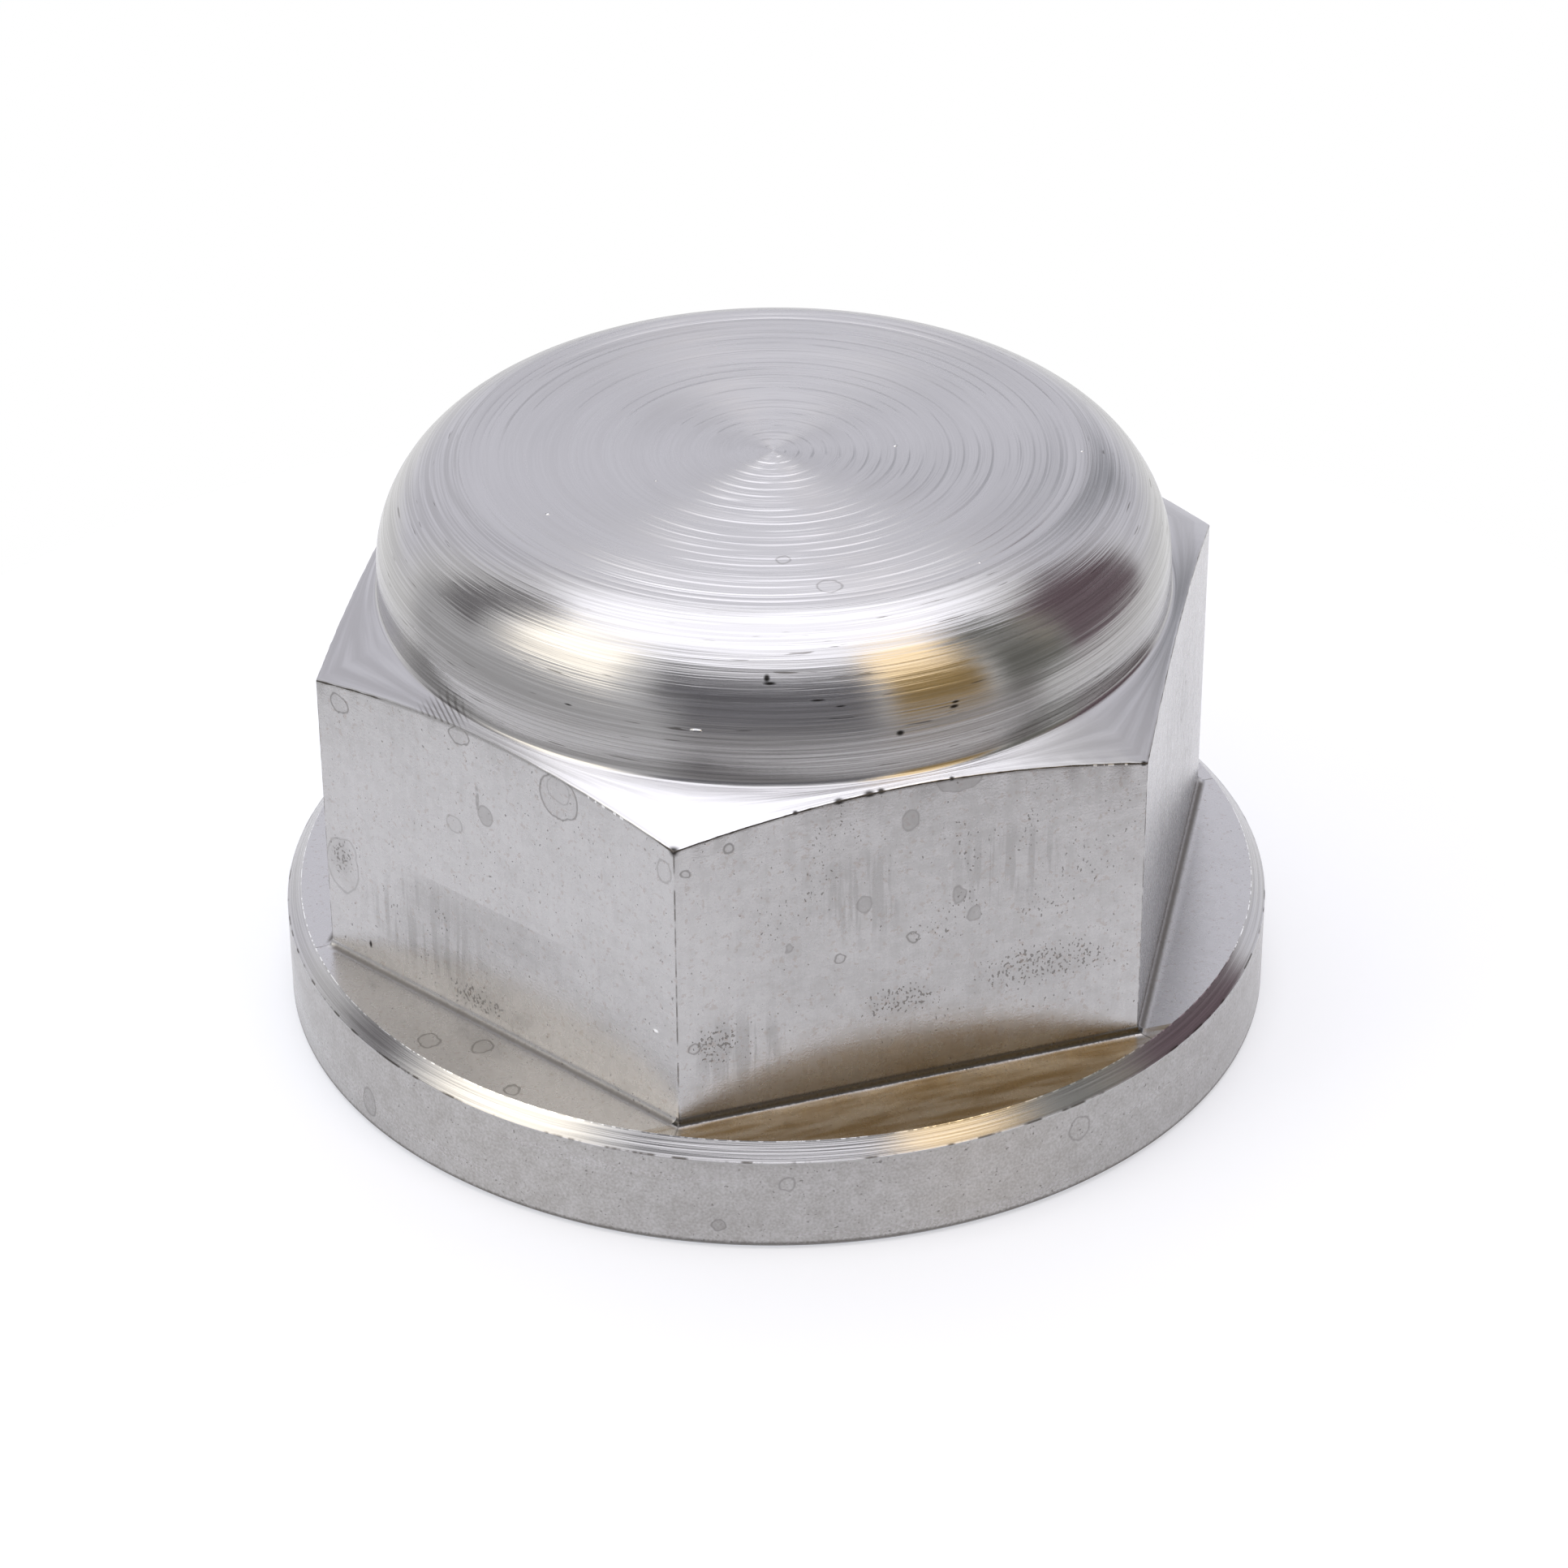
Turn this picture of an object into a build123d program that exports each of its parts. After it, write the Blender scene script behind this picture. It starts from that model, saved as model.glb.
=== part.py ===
from build123d import *
import math
import os

# Closed axle nut, one piece: a round flange, a hexagon and a domed cap over a blind thread.
# Millimetres. The origin is the centre of the flange's seat, and +Z runs up the thread's axis.

# Thread: metric fine, single start, right hand
thread_diameter = 20.0
thread_pitch = 1.5

# Hexagon, with two of its corners on the X axis
across_flats = 30.0
hex_height = 11.4            # from the flange's top to the chamfer at the corners
hex_chamfer_angle = 21.0     # degrees above the horizontal
mill_corner_radius = 0.3     # left by the cutter where each flat meets the flange

# Flange
flange_overhang = 1.2        # the edge's reach past the hexagon's corners
flange_thickness = 4.3
flange_chamfer = 0.55        # 45 degrees, round the top edge
seat_edge_break = 0.2        # 45 degrees, round the bottom edge

# Domed cap
dome_inset = 0.5             # from each flat in to the dome's wall
dome_foot_radius = 0.25      # concave, where the wall meets the hexagon's chamfer
dome_wall_height = 1.05      # straight part of the wall
shoulder_radius = 4.2
shoulder_sweep = 77.0        # degrees of arc, so a faint edge is left round the flat face
cap_thickness = 3.9          # metal over the blind bore

# Blind bore
lead_in_margin = 0.5         # countersink's reach past the thread's major radius
relief_width = 2.4           # groove in which the threading tool runs out
relief_margin = 0.3          # groove's depth past the thread's major radius
bore_floor_radius = 0.5      # round the foot of the bored floor

# Clearances of the cutting shapes, which leave no trace on the part
stock_allowance = 0.15       # turned blank outside the hexagon's corners
overrun = 1.0                # cutting shapes past the faces that they open

# Sizes that follow
flat_distance = across_flats / 2
corner_radius = flat_distance / math.cos(math.radians(30))
flange_radius = corner_radius + flange_overhang
blank_radius = corner_radius + stock_allowance
corner_height = flange_thickness + hex_height
chamfer_slope = math.tan(math.radians(hex_chamfer_angle))

dome_radius = flat_distance - dome_inset
dome_foot_height = corner_height + chamfer_slope * (corner_radius - dome_radius)
shoulder_height = dome_foot_height + dome_wall_height
shoulder_rise = shoulder_radius * math.sin(math.radians(shoulder_sweep))
overall_height = shoulder_height + shoulder_rise

minor_radius = (thread_diameter - 1.0825 * thread_pitch) / 2
major_radius = thread_diameter / 2
lead_in_radius = major_radius + lead_in_margin
relief_radius = major_radius + relief_margin
bore_depth = overall_height - cap_thickness
relief_start = bore_depth - relief_width


def turned_blank():
    """The bar turned to the flange, the hexagon's chamfer and the dome, before milling."""
    chamfer_foot = (flange_radius, flange_thickness - flange_chamfer)
    chamfer_run = flange_radius - blank_radius
    foot = (dome_radius, dome_foot_height)
    with BuildPart() as blank:
        with BuildSketch(Plane.XZ) as section:
            with BuildLine():
                side = Polyline(
                    (0, 0),
                    (flange_radius - seat_edge_break, 0),
                    (flange_radius, seat_edge_break),
                    chamfer_foot,
                    (blank_radius, chamfer_foot[1] + chamfer_run),
                    (blank_radius, corner_height - chamfer_slope * stock_allowance),
                    foot,
                    (dome_radius, shoulder_height),
                )
                shoulder = CenterArc(
                    (dome_radius - shoulder_radius, shoulder_height),
                    shoulder_radius,
                    start_angle=0,
                    arc_size=shoulder_sweep,
                )
                Polyline(shoulder @ 1, (0, overall_height), side @ 0)
            make_face()
            fillet(section.vertices().sort_by_distance(foot)[0], dome_foot_radius)
        revolve(axis=Axis.Z)
    return blank.part


def flat_cutter():
    """What the end mill takes off beside the flat that faces +Y, down to the flange's top."""
    reach = flange_radius + overrun
    with BuildPart() as cutter:
        with BuildSketch(Plane.YZ) as section:
            with Locations((flat_distance, flange_thickness)):
                Rectangle(
                    reach - flat_distance,
                    overall_height + overrun - flange_thickness,
                    align=(Align.MIN, Align.MIN),
                )
            nose = section.vertices().sort_by_distance((flat_distance, flange_thickness))[0]
            fillet(nose, mill_corner_radius)
        extrude(amount=reach, both=True)
    return cutter.part


def blind_bore():
    """The thread's bore at its minor diameter, with its lead-in, run-out groove and floor."""
    groove_run = relief_radius - minor_radius
    with BuildPart() as bore:
        with BuildSketch(Plane.XZ) as section:
            with BuildLine():
                Polyline(
                    (0, -overrun),
                    (lead_in_radius + overrun, -overrun),
                    (minor_radius, lead_in_radius - minor_radius),
                    (minor_radius, relief_start - groove_run),
                    (relief_radius, relief_start),
                    (relief_radius, bore_depth),
                    (0, bore_depth),
                    close=True,
                )
            make_face()
            floor_corner = section.vertices().sort_by_distance((relief_radius, bore_depth))[0]
            fillet(floor_corner, bore_floor_radius)
        revolve(axis=Axis.Z)
    return bore.part


def axle_nut():
    nut = turned_blank()
    cutter = flat_cutter()
    for side in range(6):
        nut -= Rot(0, 0, 60 * side) * cutter
    return nut - blind_bore()


os.makedirs("parts", exist_ok=True)
export_step(axle_nut(), "parts/axle_nut.step")
print("flange diameter", round(2 * flange_radius, 2), "overall height", round(overall_height, 2))
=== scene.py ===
import math
from functools import partial, reduce

import bpy
from mathutils import Matrix, Vector


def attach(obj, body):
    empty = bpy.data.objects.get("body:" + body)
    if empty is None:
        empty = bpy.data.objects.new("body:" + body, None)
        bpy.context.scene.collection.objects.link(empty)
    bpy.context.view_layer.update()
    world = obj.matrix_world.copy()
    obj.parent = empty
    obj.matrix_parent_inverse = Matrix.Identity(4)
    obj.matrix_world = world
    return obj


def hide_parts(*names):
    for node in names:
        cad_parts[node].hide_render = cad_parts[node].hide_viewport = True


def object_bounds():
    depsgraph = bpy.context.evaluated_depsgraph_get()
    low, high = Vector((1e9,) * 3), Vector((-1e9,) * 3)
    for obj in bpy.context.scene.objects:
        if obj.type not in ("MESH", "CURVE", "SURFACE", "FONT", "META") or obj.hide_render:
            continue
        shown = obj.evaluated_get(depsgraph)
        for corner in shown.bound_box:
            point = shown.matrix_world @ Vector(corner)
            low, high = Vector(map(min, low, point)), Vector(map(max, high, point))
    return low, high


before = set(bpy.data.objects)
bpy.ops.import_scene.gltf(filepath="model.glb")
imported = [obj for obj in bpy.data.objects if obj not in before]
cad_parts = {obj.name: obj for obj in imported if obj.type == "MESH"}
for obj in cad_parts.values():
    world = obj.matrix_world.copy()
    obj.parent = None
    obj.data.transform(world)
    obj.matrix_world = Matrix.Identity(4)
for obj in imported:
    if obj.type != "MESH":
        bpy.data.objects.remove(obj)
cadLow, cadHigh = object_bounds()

mm = 0.001
fullTurn = 2 * math.pi
cornerRatio = 1 / math.cos(math.radians(30))  # a hexagon's corner radius over half its width

# Where the picture is taken from. The azimuth turns right-and-away axes into the part's X and Y.
shot = {
    "azimuth": -18.56,              # degrees round the thread's axis
    "elevation": 32.08,
    "distance": 189.56,             # mm from the aim point
    "aim": (0.315, 3.481, 5.555),   # mm: right, away and up from the seat's centre
    "roll": -0.345,
    "lens": 113.25,
    "sensor": 36.0,
}


def turned(vector, degrees):
    return Matrix.Rotation(math.radians(degrees), 3, "Z") @ Vector(vector)


# Adds a node; an input that is given a socket is linked to it, and any other input gets the value
def addNode(tree, kind, inputs=None, **settings):
    node = tree.nodes.new(kind)
    for name, value in settings.items():
        setattr(node, name, value)
    for key, value in (inputs or {}).items():
        if isinstance(value, bpy.types.NodeSocket):
            tree.links.new(value, node.inputs[key])
        else:
            node.inputs[key].default_value = value
    return node


def calc(tree, operation, *values):
    return addNode(tree, "ShaderNodeMath", dict(enumerate(values)), operation=operation).outputs[0]


def plus(tree, *values):
    return reduce(lambda a, b: calc(tree, "ADD", a, b), values)


def minus(tree, a, b):
    return calc(tree, "SUBTRACT", a, b)


def times(tree, *values):
    return reduce(lambda a, b: calc(tree, "MULTIPLY", a, b), values)


# The sum of some values, each multiplied by its own share
def weighed(tree, *pairs):
    return plus(tree, *[times(tree, value, share) for value, share in pairs])


def vectorCalc(tree, operation, *values, output="Vector"):
    node = addNode(tree, "ShaderNodeVectorMath", dict(enumerate(values)), operation=operation)
    return node.outputs[output]


def scaled(tree, vector, factor):
    return addNode(tree, "ShaderNodeVectorMath", {0: vector, "Scale": factor}, operation="SCALE").outputs[0]


def blendFloat(tree, factor, a, b):
    node = addNode(tree, "ShaderNodeMix", {0: factor, 2: a, 3: b}, data_type="FLOAT", clamp_factor=False)
    return node.outputs[0]


def blendColour(tree, factor, a, b):
    return addNode(tree, "ShaderNodeMix", {0: factor, 6: a, 7: b}, data_type="RGBA").outputs[2]


def addObject(name, data):
    thing = bpy.data.objects.new(name, data)
    bpy.context.scene.collection.objects.link(thing)
    return thing


def makeCamera():
    data = bpy.data.cameras.new("camera")
    data.lens = shot["lens"]
    data.sensor_width = shot["sensor"]
    camera = addObject("camera", data)
    rise = math.radians(shot["elevation"])
    back = turned((0, -math.cos(rise), math.sin(rise)), shot["azimuth"])
    camera.location = turned(shot["aim"], shot["azimuth"]) * mm + back * shot["distance"] * mm
    facing = back.to_track_quat("Z", "Y").to_matrix().to_4x4()
    roll = Matrix.Rotation(math.radians(shot["roll"]), 4, "Z")
    camera.matrix_world = Matrix.Translation(camera.location) @ facing @ roll
    bpy.context.scene.camera = camera
    print("camera set")


makeCamera()

# The nut's own sizes, mm. The flange's width and the overall height come from the frame.
nut = {
    "halfFlats": 15.0,
    "flangeRadius": (cadHigh.x - cadLow.x) / 2 / mm,
    "flangeTop": 4.3,
    "flangeChamfer": 0.55,
    "seatBreak": 0.2,
    "millRadius": 0.3,
    "cornerHeight": 15.7,
    "chamferAngle": 21.0,
    "domeRadius": 14.5,
    "domeFoot": 0.25,
    "shoulderRadius": 4.2,
    "shoulderSweep": 77.0,
    "height": cadHigh.z / mm,
    "minorRadius": 9.188,
    "majorRadius": 10.0,
    "pitch": 1.5,
    "leadInRadius": 10.5,
    "reliefRadius": 10.3,
    "reliefLow": 14.513,
    "boreDepth": 18.025,
    "boreCorner": 0.5,
}
# The finer forms, mm where no other unit is named
detail = {
    "columns": 480,
    "faceShares": (0, 0.06, 0.18, 0.36, 0.56, 0.76),    # rows across the cap's face
    "shoulderSteps": 16,
    "footSteps": 6,
    "millStep": 15,             # degrees
    "edge": 0.03,               # rounding left on the turned edges
    "ragged": 0.088,            # full swing of the burr along the hexagon's arcs
    "raggedScale": 34.0,        # waves of it round the nut
    "raggedMiddle": 0.55,       # where in the noise the burr stands neither in nor out
    "cornerEdge": 0.0004,       # share of the hexagon's reach that its corners lose
    "cornerSoftness": 0.0009,
    "rings": (10.62, 10.93),    # two rings round the cap's face
    "ringDepth": 0.018,
    "ringSides": (-0.07, 0.05),
    "chamferLines": 8,          # turned lines in the flange's chamfer
    "chamferDepth": 0.006,
    "threadOverrun": 0.1,       # how far the thread runs into the lead-in and the run-out
    "drawIn": 0.4,              # how closely the columns stand at the corners
    "weld": 0.0002,             # points closer than this become one
    "sharpAngle": 32,           # degrees
}


def arc(centre, radius, start, end, steps):
    angles = [math.radians(start + (end - start) * k / steps) for k in range(steps + 1)]
    return [(centre[0] + radius * math.cos(a), centre[1] + radius * math.sin(a)) for a in angles]


def straight(start, end, shares):
    return [tuple(a + (b - a) * share for a, b in zip(start, end)) for share in shares]


# Height of the turned chamfer above the hexagon
def chamferHeight(radius):
    slope = math.tan(math.radians(nut["chamferAngle"]))
    return nut["cornerHeight"] + slope * (nut["halfFlats"] * cornerRatio - radius)


def capRows():
    sweep = math.radians(nut["shoulderSweep"])
    shoulder = nut["shoulderRadius"]
    middle = nut["domeRadius"] - shoulder
    shoulderFoot = nut["height"] - shoulder * math.sin(sweep)
    faceRadius = middle + shoulder * math.cos(sweep)
    top = nut["height"]
    rows = [(faceRadius * share, top) for share in detail["faceShares"]]
    inner, outer = detail["ringSides"]
    for ring in detail["rings"]:
        rows += [(ring + inner, top), (ring, top - detail["ringDepth"]), (ring + outer, top)]
    rows += arc((middle, shoulderFoot), shoulder, nut["shoulderSweep"], 0, detail["shoulderSteps"])
    foot = nut["domeFoot"]
    bend = 90 - nut["chamferAngle"]
    wallFoot = chamferHeight(nut["domeRadius"]) + foot * math.tan(math.radians(bend) / 2)
    rows.append((nut["domeRadius"], (shoulderFoot + wallFoot) / 2))
    rows += arc((nut["domeRadius"] + foot, wallFoot), foot, 180, 180 + bend, detail["footSteps"])
    return rows


# The outside from the middle of the cap to the bore, with the row at the top of the flats and the row
# after their root. The ratio is 1 through a flat and cornerRatio through a corner.
def outsideRows(ratio):
    flat = nut["halfFlats"] * ratio
    edge = detail["edge"]
    rows = capRows()
    rows += straight(rows[-1], (flat - edge * 3, chamferHeight(flat - edge * 3)), (0.3, 0.6, 1))
    # The upper edge of the flats, eased by one row between the chamfer and the flat
    rows.append((flat - edge, chamferHeight(flat - edge)))
    rows.append((flat - edge * 0.29, chamferHeight(flat) - edge * 0.18))
    flatTop = len(rows)
    millTop = nut["flangeTop"] + nut["millRadius"]
    rows += straight((flat, chamferHeight(flat) - edge), (flat, millTop), (0, 0.01, 0.1, 0.4, 0.7, 0.9, 1))
    for angle in range(detail["millStep"], 91, detail["millStep"]):
        bend = math.radians(angle)
        inset = nut["millRadius"] * (1 - math.cos(bend))
        rows.append(((nut["halfFlats"] + inset) * ratio, millTop - nut["millRadius"] * math.sin(bend)))
    millFoot = len(rows)
    chamfer = nut["flangeChamfer"]
    chamferTop = (nut["flangeRadius"] - chamfer, nut["flangeTop"])
    rows += straight(rows[-1], chamferTop, (0.1, 0.5, 0.97, 1))
    for line in range(1, detail["chamferLines"]):
        depth = detail["chamferDepth"] if line % 2 else 0
        down = chamfer * line / detail["chamferLines"]
        rows.append((chamferTop[0] + down - depth, chamferTop[1] - down - depth))
    wall = nut["flangeRadius"]
    rows += straight((wall, chamferTop[1] - chamfer), (wall, nut["seatBreak"]), (0, 0.02, 0.5, 0.98, 1))
    rows += straight((wall - nut["seatBreak"], 0), (nut["leadInRadius"], 0), (0, 0.02, 0.5, 0.98, 1))
    return rows, flatTop, millFoot


# One thread's outline repeated up the bore; the nodes make it climb
def threadRows():
    pitch = nut["pitch"]
    depth = nut["majorRadius"] - nut["minorRadius"]
    low = nut["leadInRadius"] - nut["majorRadius"] - detail["threadOverrun"]
    high = nut["reliefLow"] + depth + detail["threadOverrun"]
    crest, root = pitch / 4, pitch / 8      # the flats of a metric thread
    flank = (pitch - crest - root) / 2
    outline = [
        (0, 0), (crest, 0), (crest + flank / 2, 0.5), (crest + flank, 1),
        (crest + flank + root, 1), (crest + flank * 1.5 + root, 0.5),
    ]
    rows = []
    turn = math.floor((low - pitch) / pitch) - 1
    while turn * pitch < high:
        rows += [(nut["minorRadius"] + depth * share, turn * pitch + along) for along, share in outline]
        turn += 1
    return rows, low, high


def boreRows(high):
    corner = nut["boreCorner"]
    relief = nut["reliefRadius"]
    runOut = nut["minorRadius"] - nut["reliefLow"]
    rows = [(runOut + high, high), (relief, relief - runOut)]
    rows += arc((relief - corner, nut["boreDepth"] - corner), corner, 0, 90, 4)
    rows += [(relief * share, nut["boreDepth"]) for share in (0.7, 0.4, 0.15, 0)]
    return rows


# A chain of points; each carries its distance along the section, and whether it climbs or wanders
def sectionObject(name, points, helix, ragged):
    mesh = bpy.data.meshes.new(name)
    links = [(k, k + 1) for k in range(len(points) - 1)]
    mesh.from_pydata([(r * mm, 0, z * mm) for r, z in points], links, [])
    along = [0.0]
    for a, b in zip(points, points[1:]):
        along.append(along[-1] + math.dist(a, b))
    values = {
        "along": along,
        "helix": [float(k in helix) for k in range(len(points))],
        "ragged": [float(k in ragged) for k in range(len(points))],
    }
    for key, numbers in values.items():
        mesh.attributes.new(key, "FLOAT", "POINT").data.foreach_set("value", numbers)
    return addObject(name, mesh)


def stored(tree, name):
    return addNode(tree, "GeometryNodeInputNamedAttribute", {"Name": name}, data_type="FLOAT").outputs[0]


# A section's own value at a row, or its position if no value is named
def readRow(tree, section, row, name=None):
    geometry = addNode(tree, "GeometryNodeObjectInfo", {"Object": section}).outputs["Geometry"]
    value = stored(tree, name) if name else addNode(tree, "GeometryNodeInputPosition").outputs[0]
    kind = "FLOAT" if name else "FLOAT_VECTOR"
    return addNode(tree, "GeometryNodeSampleIndex", {
        "Geometry": geometry, "Value": value, "Index": row,
    }, data_type=kind, domain="POINT").outputs["Value"]


def store(tree, geometry, name, value):
    node = addNode(tree, "GeometryNodeStoreNamedAttribute", {
        "Geometry": geometry, "Name": name, "Value": value,
    }, data_type="FLOAT", domain="POINT")
    return node.outputs[0]


# The sizes become the tree's inputs, under their own names
def nutTree(materials, sizes):
    tree = bpy.data.node_groups.new("turnMillAndThread", "GeometryNodeTree")
    kinds = {bpy.types.Object: "NodeSocketObject", int: "NodeSocketInt", float: "NodeSocketFloat"}
    for name, value in sizes.items():
        tree.interface.new_socket(name, in_out="INPUT", socket_type=kinds[type(value)])
    tree.interface.new_socket("Geometry", in_out="OUTPUT", socket_type="NodeSocketGeometry")
    given = tree.nodes.new("NodeGroupInput").outputs
    columns, rows = given["Columns"], given["Rows"]
    flatSection, cornerSection = given["Section through a flat"], given["Section through a corner"]
    grid = addNode(tree, "GeometryNodeMeshGrid", {
        "Vertices X": plus(tree, columns, 1.0), "Vertices Y": rows,
    })
    index = addNode(tree, "GeometryNodeInputIndex").outputs[0]
    row = calc(tree, "FLOORED_MODULO", index, rows)
    column = calc(tree, "FLOOR", calc(tree, "DIVIDE", plus(tree, index, 0.5), rows))
    # Six sectors from corner to corner, with the columns drawn together towards the corners
    turn = times(tree, calc(tree, "DIVIDE", column, columns), 6.0)
    sector = calc(tree, "FLOOR", plus(tree, turn, 1e-5))
    share = minus(tree, times(tree, minus(tree, turn, sector), 2.0), 1.0)
    spread = minus(tree, times(tree, share, plus(tree, given["Draw in"], 1.0)),
                   times(tree, share, share, share, given["Draw in"]))
    offset = times(tree, spread, math.radians(30))
    angle = plus(tree, times(tree, plus(tree, sector, 0.5), math.radians(60)), offset)
    reach = calc(tree, "DIVIDE", 1.0, calc(tree, "COSINE", offset))
    limit = minus(tree, cornerRatio, given["Corner edge"])
    rounded = calc(tree, "SMOOTH_MIN", reach, limit, given["Corner softness"])
    blend = calc(tree, "DIVIDE", minus(tree, rounded, 1.0), cornerRatio - 1)
    mixed = addNode(tree, "ShaderNodeMix", {
        0: blend, 4: readRow(tree, flatSection, row), 5: readRow(tree, cornerSection, row),
    }, data_type="VECTOR", clamp_factor=False)
    parts = addNode(tree, "ShaderNodeSeparateXYZ", {0: mixed.outputs[1]})
    radius, height = parts.outputs["X"], parts.outputs["Z"]
    # The burr along the arcs wanders in and out
    cosine, sine = calc(tree, "COSINE", angle), calc(tree, "SINE", angle)
    outward = addNode(tree, "ShaderNodeCombineXYZ", {"X": cosine, "Y": sine}).outputs[0]
    wander = addNode(tree, "ShaderNodeTexNoise", {
        "Vector": outward, "Scale": given["Ragged scale"], "Detail": 3.0,
    }).outputs[0]
    wander = times(tree, minus(tree, wander, given["Ragged middle"]), given["Ragged"])
    radius = plus(tree, radius, times(tree, readRow(tree, flatSection, row, "ragged"), wander))
    # Thread rows climb one pitch a turn, and the lead-in and the run-out cut them off
    climb = times(tree, given["Pitch"], calc(tree, "DIVIDE", angle, fullTurn))
    climbed = calc(tree, "MAXIMUM", plus(tree, height, climb), given["Thread low"])
    climbed = calc(tree, "MINIMUM", climbed, given["Thread high"])
    cut = calc(tree, "MAXIMUM", radius, minus(tree, given["Lead-in radius"], climbed))
    cut = calc(tree, "MAXIMUM", cut, minus(tree, climbed, given["Run-out offset"]))
    helix = readRow(tree, flatSection, row, "helix")
    radius = blendFloat(tree, helix, radius, cut)
    position = addNode(tree, "ShaderNodeCombineXYZ", {
        "X": times(tree, radius, cosine),
        "Y": times(tree, radius, sine),
        "Z": blendFloat(tree, helix, height, climbed),
    }).outputs[0]
    shape = store(tree, grid.outputs["Mesh"], "along", readRow(tree, flatSection, row, "along"))
    shape = store(tree, shape, "reach", reach)
    shape = store(tree, shape, "row", row)
    shape = addNode(tree, "GeometryNodeSetPosition", {"Geometry": shape, "Position": position}).outputs[0]
    shape = addNode(tree, "GeometryNodeMergeByDistance", {
        "Geometry": shape, "Distance": given["Weld"],
    }).outputs[0]
    rowOf = stored(tree, "row")
    milled = times(tree,
                   calc(tree, "GREATER_THAN", rowOf, given["First flat row"]),
                   calc(tree, "LESS_THAN", rowOf, given["Last flat row"]))
    inBore = calc(tree, "GREATER_THAN", rowOf, given["First bore row"])
    shape = addNode(tree, "GeometryNodeRealizeInstances", {"Geometry": shape}).outputs[0]
    for material, chosen in zip(materials, (True, milled, inBore)):
        shape = addNode(tree, "GeometryNodeSetMaterial", {
            "Geometry": shape, "Selection": chosen, "Material": material,
        }).outputs[0]
    tree.links.new(shape, tree.nodes.new("NodeGroupOutput").inputs[0])
    return tree


def makeNut(materials):
    flatRows, flatTop, millFoot = outsideRows(1.0)
    cornerRows = outsideRows(cornerRatio)[0]
    helixRows, low, high = threadRows()
    outer = len(flatRows)   # rows on the outside
    inner = helixRows + boreRows(high)
    helix = range(outer, outer + len(helixRows))
    ragged = range(flatTop - 2, flatTop + 1)    # the rows either side of the hexagon's upper edge
    flatSection = sectionObject("flatSection", flatRows + inner, helix, ragged)
    cornerSection = sectionObject("cornerSection", cornerRows + inner, helix, ragged)
    host = addObject("host", bpy.data.meshes.new("host"))
    sizes = {
        "Section through a flat": flatSection,
        "Section through a corner": cornerSection,
        "Columns": detail["columns"],
        "Rows": outer + len(inner),
        "First flat row": flatTop,
        "Last flat row": millFoot + 3,
        "First bore row": outer - 1,
        "Corner edge": detail["cornerEdge"],
        "Corner softness": detail["cornerSoftness"],
        "Draw in": detail["drawIn"],
        "Ragged": detail["ragged"] * mm,
        "Ragged scale": detail["raggedScale"],
        "Ragged middle": detail["raggedMiddle"],
        "Pitch": nut["pitch"] * mm,
        "Thread low": low * mm,
        "Thread high": high * mm,
        "Lead-in radius": nut["leadInRadius"] * mm,
        "Run-out offset": (nut["reliefLow"] - nut["minorRadius"]) * mm,
        "Weld": detail["weld"] * mm,
    }
    tree = nutTree(materials, sizes)
    modifier = host.modifiers.new("nut", "NODES")
    modifier.node_group = tree
    for item in tree.interface.items_tree:
        if item.in_out == "INPUT":
            modifier[item.identifier] = sizes[item.name]
    graph = bpy.context.evaluated_depsgraph_get()
    mesh = bpy.data.meshes.new_from_object(host.evaluated_get(graph))
    mesh.name = "axleNut"
    for helper in (host, flatSection, cornerSection):
        bpy.data.objects.remove(helper)
    mesh.polygons.foreach_set("use_smooth", [True] * len(mesh.polygons))
    mesh.set_sharp_from_angle(angle=math.radians(detail["sharpAngle"]))
    piece = addObject("axleNut", mesh)
    triangles = sum(len(face.vertices) - 2 for face in mesh.polygons)
    print("nut made:", len(mesh.vertices), "points,", triangles, "triangles")
    return piece


# Distances along the section to the hexagon's upper edge, where the burr is, and to the middle of the
# mill's rounded root
def edgePlaces():
    rows, flatTop, millFoot = outsideRows(1.0)
    rootMiddle = millFoot - 1 - 45 // detail["millStep"]
    return [sum(math.dist(rows[k], rows[k + 1]) for k in range(end)) for end in (flatTop, rootMiddle)]


burrPlace, rootPlace = edgePlaces()


# A mask that is 1 below the first value and 0 above the second, or the other way round
def fade(tree, value, one, zero):
    return addNode(tree, "ShaderNodeMapRange", {
        0: value, 1: one, 2: zero, 3: 1.0, 4: 0.0,
    }, interpolation_type="SMOOTHSTEP").outputs[0]


# The same between two distances from a third place
def fadeFrom(tree, value, start, one, zero):
    return fade(tree, value, start + one, start + zero)


# Each seed reads the noise at another place
def noise(tree, vector, scale, octaves, seed=0.0, factors=None):
    if factors:
        vector = vectorCalc(tree, "MULTIPLY", vector, factors)
    vector = vectorCalc(tree, "ADD", vector, (seed * 37.1, seed * 53.7, seed * 71.3))
    return addNode(tree, "ShaderNodeTexNoise", {
        "Vector": vector, "Scale": scale, "Detail": octaves,
    }).outputs[0]


def attribute(tree, name):
    return addNode(tree, "ShaderNodeAttribute", attribute_name=name).outputs["Fac"]


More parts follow.
